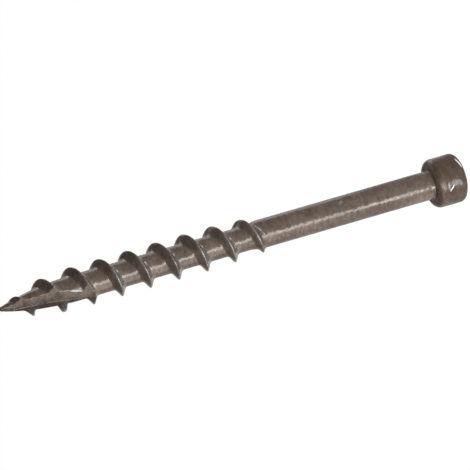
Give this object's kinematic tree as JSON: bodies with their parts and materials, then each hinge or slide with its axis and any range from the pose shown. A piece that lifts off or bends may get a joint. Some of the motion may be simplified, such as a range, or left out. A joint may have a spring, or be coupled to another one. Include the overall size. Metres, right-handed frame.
{
  "type": "pocket hole screw",
  "caption": "Coated steel pocket hole screw with a small round square-drive head, plain shank, coarse wood thread and notched self-cutting point.",
  "frame": {"origin": "centre of the head's top face, on the screw's axis, where the screw stands on its head", "axes": "+Z along the screw's axis from the head to the point; the notch's cutting face is parallel to the XZ plane, 0.4 mm behind it on the +X side, and looks along +Y; the square drive's sides are parallel to X and Y"},
  "size_m": [0.005, 0.005, 0.0508],
  "materials": {
    "coated_steel": "thin brown-grey coating on steel, semi-gloss, slightly uneven"
  },
  "bodies": {
    "root": {"pocket_hole_screw": "coated_steel"}
  },
  "joints": []
}
